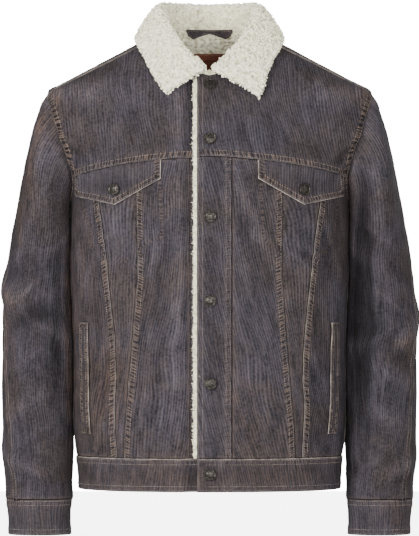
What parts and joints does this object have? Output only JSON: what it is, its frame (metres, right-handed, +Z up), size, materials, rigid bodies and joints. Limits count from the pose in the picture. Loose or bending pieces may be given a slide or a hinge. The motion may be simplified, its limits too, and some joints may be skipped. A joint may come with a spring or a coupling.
{
  "type": "sherpa lined jacket",
  "caption": "Buttoned cord jacket with pile collar, pointed chest flaps, slanting front seams, waistband and long sleeves, held open in its worn form.",
  "frame": {"origin": "between the shoulders on the jacket's middle line, level with the sides of the neck where the shoulder seams meet the collar", "axes": "+Z up along the wearer's spine, -Y the way the wearer faces, +X the wearer's left"},
  "size_m": [0.6129, 0.2615, 0.782],
  "materials": {
    "cord": "matt fine cord, worn paler on its edges",
    "cord_trim": "matt fine cord folded double",
    "pile": "cream sherpa pile",
    "leather": "smooth red-brown leather",
    "antique_metal": "dark antique brass"
  },
  "bodies": {
    "root": {"front_yoke_left": "cord", "front_yoke_right": "cord", "placket_left": "cord", "placket_right": "cord", "front_centre_left": "cord", "front_centre_right": "cord", "front_middle_left": "cord", "front_middle_right": "cord", "front_side_left": "cord", "front_side_right": "cord", "back_yoke": "cord", "back_panel": "cord", "sleeve_top_left": "cord", "sleeve_top_right": "cord", "sleeve_under_left": "cord", "sleeve_under_right": "cord", "waistband_front_left": "cord_trim", "waistband_front_right": "cord_trim", "waistband_back": "cord_trim", "cuff_left": "cord_trim", "cuff_right": "cord_trim", "under_collar": "cord_trim", "flap_left": "cord_trim", "flap_right": "cord_trim", "welt_left": "cord_trim", "welt_right": "cord_trim", "hanger_loop": "cord_trim", "collar_pile": "pile", "neck_lining": "pile", "front_edge_pile": "pile", "neck_patch": "leather", "button_front_1": "antique_metal", "button_front_2": "antique_metal", "button_front_3": "antique_metal", "button_front_4": "antique_metal", "button_front_5": "antique_metal", "button_front_6": "antique_metal", "button_flap_left": "antique_metal", "button_flap_right": "antique_metal"}
  },
  "joints": []
}
